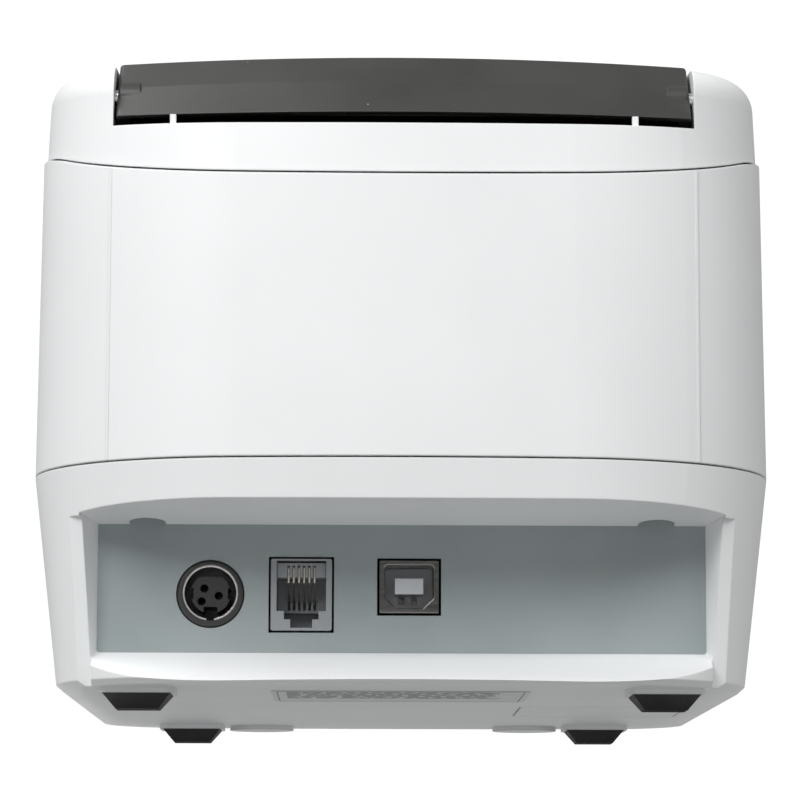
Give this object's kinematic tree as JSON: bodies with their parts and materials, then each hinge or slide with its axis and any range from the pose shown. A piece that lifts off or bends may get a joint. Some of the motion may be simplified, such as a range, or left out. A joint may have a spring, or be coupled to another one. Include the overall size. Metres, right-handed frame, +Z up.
{
  "type": "receipt printer",
  "caption": "Desktop thermal receipt printer with a rear-hinged drop-in paper lid, cutter, print head, geared platen feed and a rear bay of power, drawer and data sockets.",
  "frame": {"origin": "on the table under the middle of the case", "axes": "+X to the left seen from behind, +Y to the rear connectors, +Z up"},
  "size_m": [0.147, 0.195, 0.1317],
  "materials": {
    "shell_white": "fine moulded texture",
    "lid_charcoal": "fine grain",
    "lid_inner_brown": "smooth",
    "panel_paint": "satin grey paint",
    "black_plastic": "satin",
    "jack_grey": "satin",
    "bright_metal": "plated",
    "nickel": "plated",
    "contact_gold": "plated",
    "light_plastic": "smooth",
    "inner_grey": "fine grain",
    "board_green": "solder mask",
    "capacitor_black": "sleeve",
    "steel": "zinc plated",
    "motor_steel": "plated",
    "head_ceramic": "glazed ceramic",
    "heatsink_aluminium": "extruded",
    "clear_plastic": "clear polycarbonate",
    "label_film": "satin film",
    "foot_rubber": "matt",
    "platen_rubber": "ground",
    "bushing_plastic": "acetal",
    "gear_plastic": "acetal",
    "brass": "machined",
    "button_grey": "satin"
  },
  "bodies": {
    "base": {"base_tray": "shell_white", "middle_housing": "shell_white", "upper_frame": "shell_white", "hinge_pins": "steel", "rear_panel": "panel_paint", "power_jack_shell": "black_plastic", "power_jack_ring": "bright_metal", "power_jack_insert": "black_plastic", "drawer_jack": "jack_grey", "drawer_jack_comb": "jack_grey", "drawer_jack_contacts": "contact_gold", "usb_shell": "nickel", "usb_tongue": "light_plastic", "roll_bucket": "inner_grey", "paper_guide": "inner_grey", "paper_end_sensor": "black_plastic", "main_board": "board_green", "board_chips": "black_plastic", "board_capacitors": "capacitor_black", "board_screws": "steel", "mechanism_frame": "steel", "idler_stud": "steel", "feed_motor": "motor_steel", "thermal_head": "head_ceramic", "head_heatsink": "heatsink_aluminium", "head_springs": "steel", "cutter_motor": "motor_steel", "cutter_frame": "black_plastic", "control_panel": "lid_charcoal", "button_board": "board_green", "light_pipes": "clear_plastic", "latch_pivot_pin": "steel", "switch_body": "black_plastic", "access_cover": "shell_white", "rating_label": "label_film", "foot_rear_left": "foot_rubber", "foot_rear_right": "foot_rubber", "foot_front_left": "foot_rubber", "foot_front_right": "foot_rubber"},
    "lid": {"lid_shell": "lid_charcoal", "lid_inner_guide": "lid_inner_brown", "platen_bracket": "steel", "platen_bushings": "bushing_plastic", "fixed_blade": "steel", "blade_carrier": "lid_charcoal"},
    "platen": {"platen_roller": "platen_rubber", "platen_shaft": "steel", "platen_gear": "gear_plastic"},
    "idler": {"idler_gear": "gear_plastic"},
    "motor_rotor": {"motor_pinion": "brass"},
    "cutter_blade": {"moving_blade": "steel"},
    "cutter_drive": {"cutter_pinion": "brass"},
    "feed_button": {"feed_button": "button_grey"},
    "release_button": {"release_button": "button_grey"},
    "release_latch": {"release_latch": "bushing_plastic"},
    "power_rocker": {"power_rocker": "black_plastic"}
  },
  "joints": [
    {"name": "lid_hinge", "type": "hinge", "parent": "base", "child": "lid", "pos_m": [0, 0.0805, 0.12], "axis": [-1, 0, 0], "range_deg": [0, 95]},
    {"name": "platen_spin", "type": "hinge", "parent": "lid", "child": "platen", "pos_m": [0, -0.038, 0.104], "axis": [1, 0, 0], "continuous": true},
    {"name": "idler_spin", "type": "hinge", "parent": "base", "child": "idler", "pos_m": [0.0505, -0.038, 0.0848], "axis": [1, 0, 0], "continuous": true},
    {"name": "motor_spin", "type": "hinge", "parent": "base", "child": "motor_rotor", "pos_m": [0.0505, -0.05379, 0.07905], "axis": [1, 0, 0], "continuous": true},
    {"name": "cutter_slide", "type": "slide", "parent": "base", "child": "cutter_blade", "axis": [0, 1, 0], "range_m": [0, 0.011]},
    {"name": "cutter_pinion_spin", "type": "hinge", "parent": "base", "child": "cutter_drive", "pos_m": [0.032, -0.07, 0.1038], "axis": [1, 0, 0], "range_deg": [-112.8, 0]},
    {"name": "feed_button_press", "type": "slide", "parent": "base", "child": "feed_button", "axis": [0, 0, -1], "range_m": [0, 0.0012], "stiffness_N_per_m": 500},
    {"name": "release_button_press", "type": "slide", "parent": "base", "child": "release_button", "axis": [0, 0, -1], "range_m": [0, 0.003], "stiffness_N_per_m": 500},
    {"name": "release_latch_turn", "type": "hinge", "parent": "base", "child": "release_latch", "pos_m": [0.0626, -0.0275, 0.1], "axis": [1, 0, 0], "range_deg": [0, 18.1]},
    {"name": "power_rocker_tilt", "type": "hinge", "parent": "base", "child": "power_rocker", "pos_m": [-0.042, -0.09051, 0.026], "axis": [-1, 0, 0], "range_deg": [0, 16]}
  ],
  "couplings": [
    {"joint": "idler_spin", "follows": "platen_spin", "ratio": -0.71429},
    {"joint": "motor_spin", "follows": "platen_spin", "ratio": 1.4286},
    {"joint": "cutter_pinion_spin", "follows": "cutter_slide", "rad_per_m": -178.57},
    {"joint": "release_latch_turn", "follows": "release_button_press", "rad_per_m": 104.72}
  ]
}
